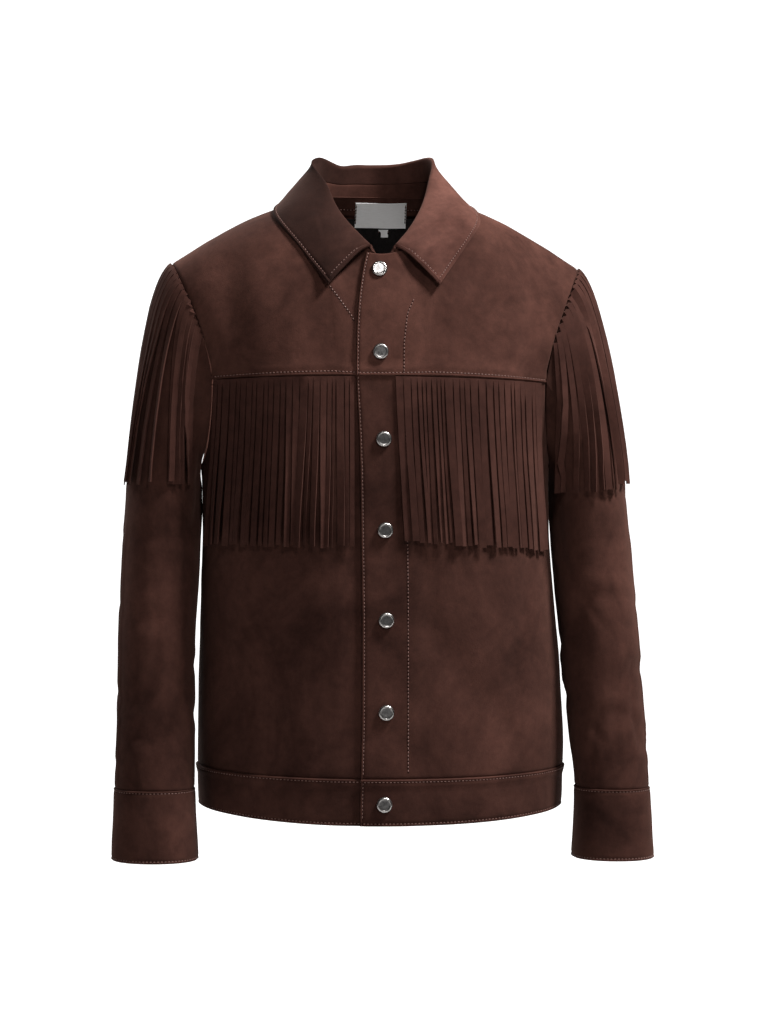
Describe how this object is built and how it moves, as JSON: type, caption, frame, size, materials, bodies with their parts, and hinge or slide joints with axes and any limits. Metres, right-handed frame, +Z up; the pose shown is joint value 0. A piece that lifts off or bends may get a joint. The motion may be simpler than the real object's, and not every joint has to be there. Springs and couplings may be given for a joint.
{
  "type": "fringed suede jacket",
  "caption": "Western suede jacket, snapped up the front and filled out as worn, with a pointed shirt collar, fringe under the yokes and along the armholes, waistband and cuffs.",
  "frame": {"origin": "middle of the neck opening, at the height where the shoulders carry the jacket", "axes": "+Z up, the front faces -Y, the wearer's left is at +X"},
  "size_m": [0.5734, 0.255, 0.7479],
  "materials": {
    "suede": "dark chocolate suede, napped, matte",
    "suede_fringe": "cut suede strips, matte",
    "satin": "near-black glossy lining",
    "label": "blank silver ribbon",
    "snap": "gunmetal, dark flat centre"
  },
  "bodies": {
    "root": {"back": "suede", "collar": "suede", "collar_stand": "suede", "cuff_left": "suede", "cuff_right": "suede", "fringe_back": "suede_fringe", "fringe_front_left": "suede_fringe", "fringe_front_right": "suede_fringe", "fringe_sleeve_left": "suede_fringe", "fringe_sleeve_right": "suede_fringe", "front_left": "suede", "front_right": "suede", "label": "label", "lining_back": "satin", "neck_facing": "suede", "size_tab": "label", "sleeve_left": "suede", "sleeve_right": "suede", "snap_1": "snap", "snap_2": "snap", "snap_3": "snap", "snap_4": "snap", "snap_5": "snap", "snap_6": "snap", "snap_7": "snap", "waistband": "suede", "yoke_back": "suede", "yoke_front_left": "suede", "yoke_front_right": "suede"}
  },
  "joints": []
}
